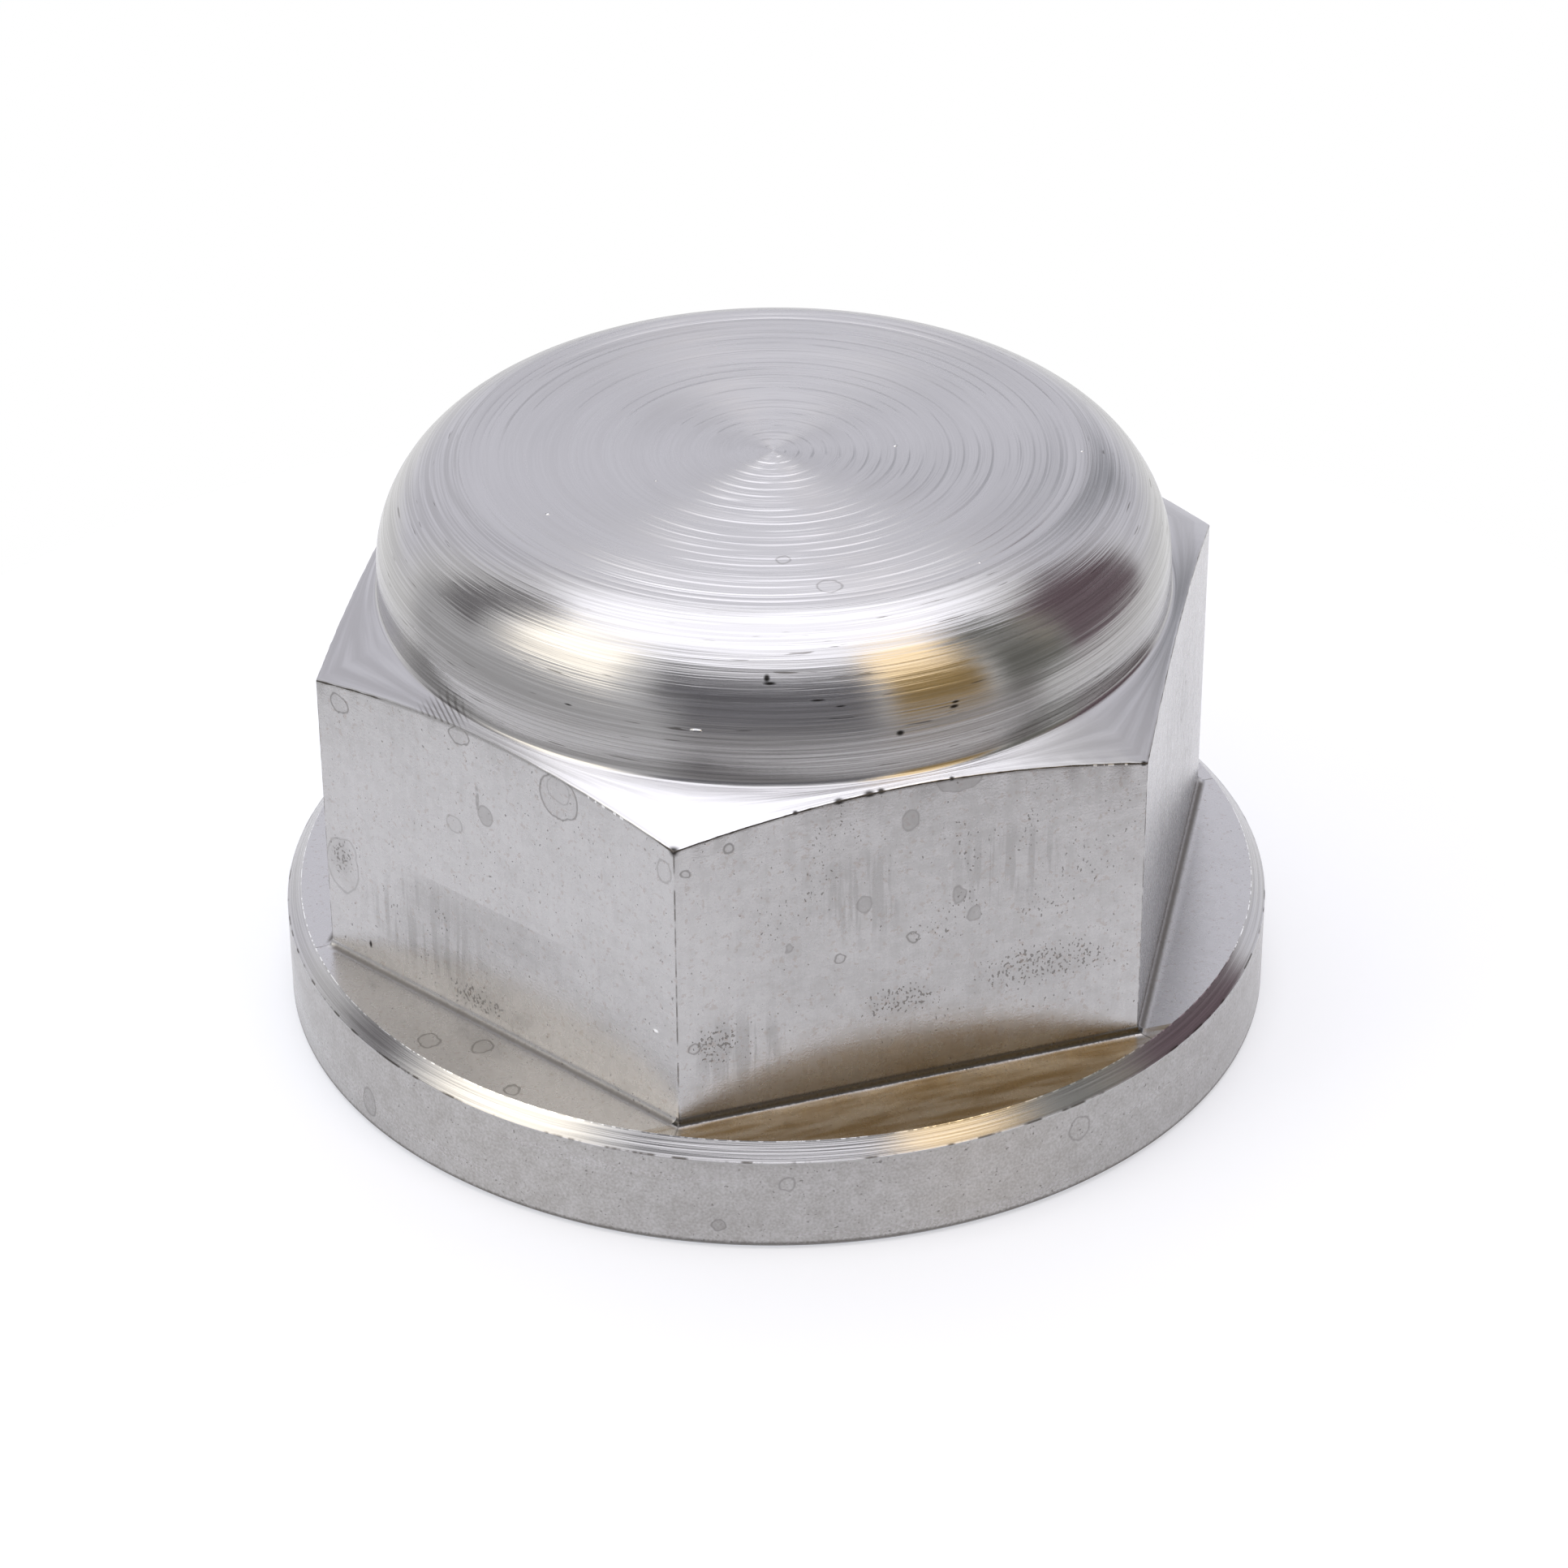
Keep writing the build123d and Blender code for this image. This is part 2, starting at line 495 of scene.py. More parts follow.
# Colours of the bare metal and of what lies on it; some also serve as painted shade, painted reflection and
# painted glints
metal = {
    "colour": (0.525, 0.517, 0.52, 1),
    "shade": (0.39, 0.382, 0.38, 1),
    # the flange's wall, darker as painted shade: it stands in for the shaded floor that the wall reflects
    "wall": (0.355, 0.34, 0.328, 1),
    "stain": (0.25, 0.24, 0.235, 1),
    "brown": (0.33, 0.26, 0.22, 1),
    # painted reflection: the warm light that the flange under the right flat reflects
    "warmReflectionFilm": (0.27, 0.205, 0.12, 1),
    # dirt, and also painted shade: the shadow at the seat and the dark root of the flats
    "dirtAndShade": (0.11, 0.1, 0.09, 1),
    # nicks, and the black core of the painted shade under the right flat
    "nickAndShade": (0.03, 0.028, 0.026, 1),
    # painted glints
    "paintedGlint": (0.95, 0.95, 0.95, 1),
}


# Starts a metal's material; its place is in mm
def startMetal(name, roughness, anisotropy=0.0):
    material = bpy.data.materials.new(name)
    material.use_nodes = True
    tree = material.node_tree
    shader = tree.nodes["Principled BSDF"]
    shader.inputs["Metallic"].default_value = 1
    shader.inputs["Roughness"].default_value = roughness
    shader.inputs["Anisotropic"].default_value = anisotropy
    place = scaled(tree, addNode(tree, "ShaderNodeTexCoord").outputs["Object"], 1 / mm)
    return material, tree, shader, place


def finishMetal(tree, shader, colour, roughness, height, normal=None):
    given = {"Height": height, "Distance": mm, "Strength": 1.0}
    if normal:
        given["Normal"] = normal
    bump = addNode(tree, "ShaderNodeBump", given).outputs[0]
    tree.links.new(colour, shader.inputs["Base Color"])
    tree.links.new(roughness, shader.inputs["Roughness"])
    tree.links.new(bump, shader.inputs["Normal"])


# Centres of marks on each kind of surface, mm
def onFlat(normal, across, up):
    return turned((nut["halfFlats"], across, up), normal)


def onWall(angle, up):
    return turned((nut["flangeRadius"], 0, up), angle)


def onFlange(x, y):
    return Vector((x, y, nut["flangeTop"]))


def onCap(x, y):
    return Vector((x, y, nut["height"]))


def onCone(angle, radius):
    return turned((radius, 0, chamferHeight(radius)), angle)


def onShoulder(angle, rise):
    sweep = math.radians(rise)
    radius = nut["domeRadius"] - nut["shoulderRadius"] * (1 - math.cos(sweep))
    foot = nut["height"] - nut["shoulderRadius"] * math.sin(math.radians(nut["shoulderSweep"]))
    return turned((radius, 0, foot + nut["shoulderRadius"] * math.sin(sweep)), angle)


# The flats that the picture shows, and those behind
leftFlat, rightFlat, narrowFlat = [partial(onFlat, normal) for normal in (-150, -90, -30)]
farRightFlat, backFlat, farLeftFlat = [partial(onFlat, normal) for normal in (30, 90, 150)]


# Marks by the surface they are on: each one's place there, its reach, and its height over its width
def marks(surfaces):
    return [(surface(first, second), reach, stretch)
            for surface, given in surfaces.items() for first, second, reach, stretch in given]


# Dried drops
ringDrops = marks({
    leftFlat: [(3.3, 15.65, 0.9, 1.05), (-1.48, 16.25, 0.52, 0.7), (-7.5, 15.15, 0.45, 0.9)],
    rightFlat: [
        (-6.7, 15.4, 0.18, 1.2), (-8.24, 14.7, 0.2, 1.0), (0.0, 10.3, 0.26, 0.95),
        (-2.7, 10.0, 0.22, 0.9), (-8.05, 7.4, 0.22, 1.0),
    ],
    narrowFlat: [(2.0, 12.0, 0.7, 1.2)],
    backFlat: [(4.0, 13.0, 0.8, 1.2)],
    onFlange: [(-15.58, -7.15, 0.43, 1.0), (-13.88, -8.17, 0.38, 1.0), (-13.61, -11.06, 0.3, 1.0)],
})
blotDrops = marks({
    leftFlat: [(-0.33, 13.4, 0.36, 1.1), (-0.7, 13.95, 0.07, 7.0)],
    rightFlat: [
        (-0.1, 15.2, 0.3, 1.4), (1.64, 16.45, 0.85, 0.55), (-1.8, 12.05, 0.28, 1.3),
        (2.3, 10.8, 0.27, 1.1), (1.7, 11.75, 0.24, 1.6), (-4.56, 10.85, 0.15, 1.1),
    ],
    farLeftFlat: [(-1.0, 8.0, 0.45, 1.1)],
})
faintDrops = marks({
    leftFlat: [
        (3.3, 15.95, 0.55, 0.95), (-7.85, 8.15, 0.82, 1.4), (-7.6, 8.9, 0.5, 1.0),
        (8.2, 14.7, 0.33, 1.5), (-1.9, 12.4, 0.4, 0.8),
    ],
    farRightFlat: [(-3.0, 9.0, 0.6, 1.3)],
})
# The drops of each finish, with how dark their rims and fills are; first those on the flats
milledDrops = [(ringDrops, 0.95, 0.14), (blotDrops, 0.7, 0.42), (faintDrops, 0.5, 0.08)]
wallDrops = marks({
    onWall: [
        (-161.88, 1.14, 0.42, 1.4), (-115.0, 0.96, 0.27, 1.0), (40.0, 2.2, 0.5, 1.1),
        (140.0, 1.5, 0.35, 1.2),
    ],
})
capDrops = marks({
    onWall: [(-107.5, 2.81, 0.28, 1.1), (-73.0, 2.7, 0.45, 1.2)],
    onCap: [(-1.31, -9.94, 0.45, 1.0), (-2.23, -7.69, 0.26, 1.0)],
})
turnedDrops = [(wallDrops, 0.75, 0.35), (capDrops, 0.6, 0.04)]
# Patches of small pits on the flats
pitPatches = marks({
    rightFlat: [(5.2, 8.1, 2.9, 0.42), (-0.3, 7.8, 2.0, 0.45), (-7.25, 7.4, 1.1, 1.3)],
    leftFlat: [(-1.0, 5.25, 2.2, 0.35), (-7.9, 8.5, 0.8, 1.5)],
    backFlat: [(3.0, 9.0, 2.4, 0.6)],
    farRightFlat: [(-3.0, 7.0, 2.0, 0.5)],
})
# Where vertical rub marks show, and where the metal is painted darker as shade, most of all across the
# right flat
rubPatches = marks({
    leftFlat: [(-3.6, 7.2, 3.8, 0.62)],
    rightFlat: [(-6.4, 7.0, 2.2, 0.9), (-1.8, 12.4, 2.2, 1.0), (3.6, 12.6, 2.6, 0.8)],
    narrowFlat: [(1.0, 10.0, 7.0, 0.8)],
    backFlat: [(-3.0, 8.0, 3.0, 0.8)],
})
shadedPatches = marks({
    rightFlat: [(1.0, 11.5, 11.0, 0.9)],
    leftFlat: [(-3.0, 7.2, 4.6, 0.5)],
    narrowFlat: [(0.0, 10.0, 9.0, 0.9)],
    backFlat: [(0.0, 11.0, 9.0, 0.7)],
})
# Where one pass of the mill ended, with a faint step in tone
passPatches = marks({
    leftFlat: [(-0.5, 8.9, 6.0, 0.3)],
    backFlat: [(1.0, 8.8, 6.0, 0.3)],
})
# Dents along the arcs and on the shoulder, and bright flecks: painted glints on small scratches
edgeNicks = marks({
    rightFlat: [
        (-8.68, 15.76, 0.3, 1.3), (-4.3, 16.34, 0.14, 0.8), (-2.72, 16.46, 0.26, 0.6),
        (-1.62, 16.53, 0.3, 0.5), (-1.2, 16.57, 0.2, 0.8), (1.37, 16.55, 0.14, 0.8),
        (8.5, 15.7, 0.16, 0.8),
    ],
    farRightFlat: [(2.0, 16.5, 0.25, 0.6)],
    farLeftFlat: [(-5.0, 16.25, 0.22, 0.6)],
})
milledNicks = edgeNicks + marks({leftFlat: [(-6.6, 5.23, 0.1, 2.2)]})
turnedNicks = edgeNicks + marks({
    onShoulder: [
        (-109.6, 39.0, 0.15, 1.8), (-109.2, 36.5, 0.3, 0.22), (-102.5, 28.0, 0.34, 0.12),
        (-99.35, 24.5, 0.24, 0.14), (-83.2, 15.5, 0.24, 0.35), (-82.9, 17.5, 0.2, 0.3),
        (-91.3, 8.0, 0.2, 0.7), (-138.0, 14.0, 0.2, 0.2),
    ],
})
milledGlintFlecks = marks({leftFlat: [(7.65, 7.86, 0.16, 0.6)]})
turnedGlintFlecks = marks({
    onShoulder: [(-119.2, 12.9, 0.24, 0.28)],
    onCap: [
        (-9.01, -1.82, 0.1, 1.0), (-4.67, -0.74, 0.07, 1.0), (4.29, -1.08, 0.1, 1.0),
        (10.5, -3.7, 0.08, 1.0), (4.15, -10.1, 0.07, 1.0),
    ],
})
# Where the burr has broken away
brokenBurr = marks({
    leftFlat: [(5.4, 16.2, 2.4, 0.6)],
    rightFlat: [(7.7, 15.85, 1.6, 0.6)],
    farRightFlat: [(4.0, 16.4, 2.0, 0.6)],
    backFlat: [(-5.0, 16.2, 2.0, 0.6)],
})


# Least distance to a set of flattened balls, below 0 inside one of them. In reaches, it is 0 at a
# ball's centre and 1 at its surface.
def nearest(tree, place, balls, inReaches=False):
    least = None
    for centre, radius, stretch in balls:
        size = radius if inReaches else 1
        scale = Vector((1 / size, 1 / size, 1 / size / stretch))
        shift = [-a * b for a, b in zip(centre, scale)]
        away = vectorCalc(tree, "MULTIPLY_ADD", place, scale, shift)
        distance = vectorCalc(tree, "LENGTH", away, output="Value")
        if not inReaches:
            distance = minus(tree, distance, radius)
        least = calc(tree, "MINIMUM", least, distance) if least else distance
    return least


# Soft patches: 1 in the middle third, 0 at the reach
def patchMask(tree, place, patches):
    return fade(tree, nearest(tree, place, patches, inReaches=True), 0.3, 1.0)


# Dried drops: a dark rim and a fainter fill, with an uneven outline
drop = {
    "rimInset": 0.02,       # mm, as the widths
    "rimWidth": (0.01, 0.065),
    "fillEdge": (-0.06, 0.0),
    "wobbleScale": 2.0,
}


def dropMarks(tree, place, kinds, wobble):
    push = minus(tree, noise(tree, place, drop["wobbleScale"], 2.0), 0.5)
    place = vectorCalc(tree, "ADD", place, times(tree, push, wobble))
    darkest = None
    for drops, rim, fill in kinds:
        distance = nearest(tree, place, drops)
        edge = calc(tree, "ABSOLUTE", plus(tree, distance, drop["rimInset"]))
        edge = times(tree, fade(tree, edge, *drop["rimWidth"]), rim)
        inside = times(tree, fade(tree, distance, *drop["fillEdge"]), fill)
        mark = calc(tree, "MAXIMUM", edge, inside)
        darkest = calc(tree, "MAXIMUM", darkest, mark) if darkest else mark
    return darkest


# How far a value is from a number, either way
def apart(tree, value, number):
    return calc(tree, "ABSOLUTE", minus(tree, value, number))


# Lays one of the metal's colours on where the mask is
def paint(tree, colour, name, mask, share=1.0):
    mask = times(tree, mask, share) if share < 1 else mask
    return blendColour(tree, mask, colour, metal[name])


def paintLayers(tree, colour, layers):
    for name, mask, share in layers:
        colour = paint(tree, colour, name, mask, share)
    return colour


burr = {
    "scale": 26.0,          # waves of its width round the nut
    "width": 0.11,          # mm, full swing
    "least": 0.026,
    "cleanMiddle": -146.0,  # degrees round the axis, of the stretch that has hardly any
    "cleanReach": 25.0,
    "cleanEdge": 3.0,
    "cleanShare": 0.12,
    "sparkleScale": 75.0,
    "sparkleLimit": 0.6,
    "sparkleUp": 0.03,      # mm past the edge
    "sparkleReach": 0.045,
    "broken": 0.3,          # share of a patch's mask above which it sparkles
}


# The burr along the hexagon's arcs: a dark line, and bright specks of painted glint where it has broken
# away
def paintBurr(tree, colour, around, place):
    along = attribute(tree, "along")
    width = times(tree, noise(tree, around, burr["scale"], 3.0), burr["width"])
    line = calc(tree, "LESS_THAN", apart(tree, along, burrPlace), minus(tree, width, burr["least"]))
    clean = turned((1, 0, 0), burr["cleanMiddle"])
    facing = vectorCalc(tree, "DOT_PRODUCT", around, clean, output="Value")
    ends = [math.cos(math.radians(burr["cleanReach"] - less)) for less in (0, burr["cleanEdge"])]
    share = calc(tree, "MAXIMUM", fade(tree, facing, *ends), burr["cleanShare"])
    colour = paint(tree, colour, "dirtAndShade", times(tree, line, share))
    glintSpeck = noise(tree, around, burr["sparkleScale"], 1.0, 12.0)
    glintSpeck = calc(tree, "GREATER_THAN", glintSpeck, burr["sparkleLimit"])
    off = apart(tree, along, burrPlace + burr["sparkleUp"])
    near = calc(tree, "LESS_THAN", off, burr["sparkleReach"])
    broken = calc(tree, "GREATER_THAN", patchMask(tree, place, brokenBurr), burr["broken"])
    return paint(tree, colour, "paintedGlint", times(tree, glintSpeck, near, broken))


turnedLook = {
    "roughness": 0.17,
    "anisotropy": 0.9,
    "highlightTurn": 0.25,  # lays the highlight across the turning lines
    "wallTop": 3.75,        # mm: where the flange's wall ends and its chamfer starts
    "feed": 0.5,            # mm between the feed rings on the cap's face
    "feedWander": 0.25,
    "faceDepth": 0.02,      # mm under the top that still counts as the cap's face
    "facetTilt": 0.36,      # how far the feed rings' facets and the hair lines lean outwards
    "hairTilt": 0.2,
    "smoothest": 0.08,
    "rougher": 0.22,        # where the broad noise is high
    "wallRougher": 0.1,
    "faceRougher": 0.1,
    "tone": 0.8,            # share of the shade in the turning lines
    "faceToneLoss": 0.65,
    "streakTone": 0.6,      # how much the coarser noises add to the tone of the finer ones
    "wallGrain": 0.9,
    "wallCloud": 0.5,
    "speckCloud": 0.1,
    "seatGrain": 0.1,
    # mm
    "heights": {
        "face": 0.002, "fine": 0.011, "streaks": 0.014, "broad": 0.014, "grain": 0.003, "glintFlecks": 0.06,
    },
    # Noises along the turning lines: scale across them, scale round the axis, octaves and seed
    "lines": {
        "face": (19.0, 1.6, 2.0, 1.0),
        "fine": (14.0, 2.0, 3.0, 2.0),
        "streaks": (5.5, 1.3, 3.0, 3.0),
        "broad": (1.4, 0.8, 2.0, 4.0),
        "breaks": (1.9, 1.3, 2.0, 5.0),
        "scuffs": (9.0, 7.0, 2.0, 9.0),
    },
    # Other noises: scale, octaves and seed
    "noises": {
        "grain": (10.0, 2.0, 6.0),
        "cloud": (1.3, 3.0, 7.0),
        "specks": (7.0, 1.0, 8.0),
        "under": (17.0, 3.0, 10.0),
        "over": (60.0, 1.0, 11.0),
    },
    # Where each mask is full and where it ends
    "limits": {
        "wallEdge": (-0.1, 0.0),
        "facetEnd": (0.1, 0.3), "facetStart": (0.06, 0.0), "breaks": (0.57, 0.4), "hair": (0.68, 0.52),
        "tone": (0.95, 0.62), "wall": (0.3, 1.1), "specks": (0.81, 0.75), "scuffs": (0.74, 0.68),
        "scuffHeight": (17.3, 17.0), "ripple": (0.9, -0.2), "underHeight": (0.015, 0.05),
        "under": (0.58, 0.5), "overHeight": (0.02, 0.04), "over": (0.55, 0.48), "seat": (0.27, 0.42),
    },
    # How strongly the marks cover the metal
    "cover": {"specks": 0.6, "scuffs": 0.75, "chatter": 0.6, "under": 0.95, "seat": 0.75},
    "dropWobble": 0.3,
    # Chatter left by the tool on two stretches of the hexagon's chamfer
    "chatterAcross": turned((0.943, -0.332, 0), -158.8),
    "chatterPitch": 0.15,   # mm
    "chatterPatches": marks({onCone: [(-159.5, 15.0, 1.5, 0.7), (75.0, 15.2, 1.2, 0.5)]}),
}


# The direction out from the axis as a unit vector
def outwards(tree, place):
    return vectorCalc(tree, "NORMALIZE", vectorCalc(tree, "MULTIPLY", place, (1.0, 1.0, 0.0)))


# A noise drawn out along the turning lines
def turningNoise(tree, around, across, along, octaves, seed):
    parts = addNode(tree, "ShaderNodeSeparateXYZ", {0: around}).outputs
    vector = addNode(tree, "ShaderNodeCombineXYZ", {
        "X": times(tree, parts["X"], along),
        "Y": times(tree, parts["Y"], along),
        "Z": times(tree, attribute(tree, "along"), across),
    }).outputs[0]
    return noise(tree, vector, 1.0, octaves, seed)


# The cap, the chamfers and the flange's wall
def turnedTitanium():
    look = turnedLook
    heights, limits, cover = look["heights"], look["limits"], look["cover"]
    material, tree, shader, place = startMetal("turnedTitanium", look["roughness"], look["anisotropy"])
    around = outwards(tree, place)
    up = addNode(tree, "ShaderNodeSeparateXYZ", {0: place}).outputs["Z"]
    onWallOnly = fadeFrom(tree, up, look["wallTop"], *limits["wallEdge"])
    onFace = calc(tree, "GREATER_THAN", up, nut["height"] - look["faceDepth"])
    lines = {name: turningNoise(tree, around, *values) for name, values in look["lines"].items()}
    noises = look["noises"]
    grain, cloud, specks = [noise(tree, place, *noises[name]) for name in ("grain", "cloud", "specks")]
    under, over = [noise(tree, around, *noises[name]) for name in ("under", "over")]
    # Feed rings on the cap's face: narrow facets tilted outwards, broken here and there
    feedPlace = plus(tree, attribute(tree, "along"), times(tree, lines["broad"], look["feedWander"]))
    share = calc(tree, "FRACT", calc(tree, "DIVIDE", feedPlace, look["feed"]))
    facet = times(tree, fade(tree, share, *limits["facetEnd"]), fade(tree, share, *limits["facetStart"]),
                  fade(tree, lines["breaks"], *limits["breaks"]))
    hair = fade(tree, lines["face"], *limits["hair"])
    tilt = times(tree, weighed(tree, (facet, look["facetTilt"]), (hair, look["hairTilt"])), onFace)
    outward = addNode(tree, "ShaderNodeVectorTransform", {
        0: scaled(tree, around, tilt),
    }, vector_type="VECTOR", convert_from="OBJECT", convert_to="WORLD").outputs[0]
    normal = addNode(tree, "ShaderNodeNewGeometry").outputs["Normal"]
    normal = vectorCalc(tree, "NORMALIZE", vectorCalc(tree, "ADD", normal, outward))
    # Painted glints on small scratches, which also stand up a little
    glintFlecks = patchMask(tree, place, turnedGlintFlecks)
    sideHeight = weighed(tree, *[(lines[name], heights[name]) for name in ("fine", "streaks", "broad")])
    sideHeight = times(tree, sideHeight, minus(tree, 1.0, onWallOnly))
    height = blendFloat(tree, onFace, sideHeight, times(tree, lines["face"], heights["face"]))
    height = plus(tree, height, times(tree, grain, onWallOnly, heights["grain"]),
                  times(tree, glintFlecks, heights["glintFlecks"]))
    roughness = plus(tree, look["smoothest"], times(tree, lines["broad"], look["rougher"]),
                     times(tree, onWallOnly, look["wallRougher"]), times(tree, onFace, look["faceRougher"]))
    tone = plus(tree, times(tree, lines["streaks"], look["streakTone"]), lines["fine"])
    tone = fade(tree, tone, *limits["tone"])
    tone = times(tree, tone, minus(tree, look["tone"], times(tree, onFace, look["faceToneLoss"])))
    colour = paint(tree, metal["colour"], "shade", tone)
    # Painted shade: the flange's wall is darker, for the shaded floor beside it that it reflects, mottled
    # by grain and cloud
    wallTone = weighed(tree, (grain, look["wallGrain"]), (cloud, look["wallCloud"]))
    shadedWallColour = paint(tree, metal["colour"], "wall", fade(tree, wallTone, *limits["wall"]))
    colour = blendColour(tree, onWallOnly, colour, shadedWallColour)
    specks = plus(tree, specks, times(tree, cloud, look["speckCloud"]))
    scuffs = times(tree, fade(tree, lines["scuffs"], *limits["scuffs"]),
                   fade(tree, up, *limits["scuffHeight"]), minus(tree, 1.0, onFace))
    run = vectorCalc(tree, "DOT_PRODUCT", place, look["chatterAcross"], output="Value")
    ripple = calc(tree, "SINE", times(tree, run, fullTurn / look["chatterPitch"]))
    ripple = times(tree, fade(tree, ripple, *limits["ripple"]),
                   patchMask(tree, place, look["chatterPatches"]))
    # A broken dark line under the flange's chamfer, and a painted highlight of bright specks along its
    # upper edge
    under = times(tree, fade(tree, apart(tree, up, look["wallTop"]), *limits["underHeight"]),
                  fade(tree, under, *limits["under"]))
    over = times(tree, fade(tree, apart(tree, up, nut["flangeTop"]), *limits["overHeight"]),
                 fade(tree, over, *limits["over"]))
    # Painted shadow: a dark band at the foot of the flange's wall, where it stands on the floor
    seat = plus(tree, up, times(tree, grain, look["seatGrain"]))
    # What is painted on the metal, the lowest first, among it painted shadow and painted glints: colour,
    # mask and share
    layers = [
        ("dirtAndShade", times(tree, fade(tree, specks, *limits["specks"]), onWallOnly), cover["specks"]),
        ("dirtAndShade", scuffs, cover["scuffs"]),
        ("dirtAndShade", ripple, cover["chatter"]),
        ("stain", dropMarks(tree, place, turnedDrops, look["dropWobble"]), 1),
        ("nickAndShade", patchMask(tree, place, turnedNicks), 1),
        ("paintedGlint", glintFlecks, 1),
        ("dirtAndShade", under, cover["under"]),
        ("paintedGlint", over, 1),
        ("dirtAndShade", fade(tree, seat, *limits["seat"]), cover["seat"]),
    ]
    colour = paintBurr(tree, paintLayers(tree, colour, layers), around, place)
    finishMetal(tree, shader, colour, roughness, height, normal)
    tangent = addNode(tree, "ShaderNodeTangent", direction_type="RADIAL", axis="Z").outputs[0]
    tree.links.new(tangent, shader.inputs["Tangent"])
    shader.inputs["Anisotropic Rotation"].default_value = look["highlightTurn"]
    return material


milledLook = {
    "roughness": 0.27,
    "smoother": 0.06,       # taken off the roughness, and some of it put back by the cloud noise
    "cloudRougher": 0.12,
    "dropRougher": 0.06,
    "valleyRougher": 0.3,
    "passEnd": 9.5,         # mm
    "darkestFoot": -90,        # degrees round the axis: the right flat, whose foot has the darkest painted shade
    "flatMargin": 0.1,      # mm inside its plane that still counts as under it
    "leastRub": 0.12,       # share of the rub marks outside their patches
    "pitThicker": 0.15,     # what the patches, and a thin scatter where the metal is painted darker as shade, add to the pits' noise
    "pitScatter": 0.07,
    "leastScatter": 0.2,
    "warmReflectionShare": 0.35,      # least share of the brown film of painted reflection
    "valley": 0.06,         # mm down the section from the root's middle to the middle of its dark line
    "thickShade": -0.05,     # the same under the right flat, where the painted shade is a thick band with a black core
    "core": 0.03,
    "rootWander": 0.06,
    "dropWobble": 0.35,
    # Noises: scale, octaves, seed and stretch
    "noises": {
        "mottle": (0.45, 2.0, 1.0),
        "cloud": (2.2, 2.0, 2.0),
        "grain": (11.0, 2.0, 3.0),
        "passes": (1.0, 2.0, 4.0, (0.25, 0.25, 5.0)),
        "rubs": (1.0, 3.0, 5.0, (4.0, 4.0, 0.25)),
        "pits": (9.0, 1.0, 7.0, (1.0, 1.0, 0.75)),
        "scatter": (0.5, 1.0, 8.0),
        "brown": (5.0, 2.0, 9.0),
        "ticks": (1.0, 3.0, 10.0, (0.1, 0.1, 1.6)),
        "smear": (1.0, 3.0, 12.0, (0.3, 1.8, 1.0)),
    },
    # How much each darkens the metal
    "shades": {
        "mottle": 0.5, "cloud": 0.35, "grain": 0.4, "passes": 0.2, "rubs": 0.5, "ended": 0.35, "shadedPatch": 0.28,
    },
    # Where each mask is full and where it ends
    "limits": {
        "rubs": (0.59, 0.46), "shade": (1.5, 0.5), "scatter": (0.62, 0.46), "pits": (0.79, 0.73),
        "brown": (0.68, 0.61), "valley": (0.02, 0.22), "thickShade": (0.1, 0.22), "core": (0.04, 0.11),
        "smear": (0.65, 0.35), "ticks": (0.62, 0.38), "hexagon": (0.1, 0.0), "passEnd": (-0.03, 0.03),
        "valleyEnds": (-0.012, -0.002), "warmReflectionFilm": (0.01, 0.03), "corner": (-0.0004, -0.0016),
    },
    # How strongly the marks cover the metal
    "cover": {
        "pitted": 0.5, "pits": 0.6, "brown": 0.28, "drops": 0.85, "valley": 0.8, "thickShade": 0.95,
        "warmReflectionFilm": 0.65, "corner": 0.8,
    },
    # mm
    "heights": {"grain": 0.004, "passes": 0.003, "pits": -0.01},
}


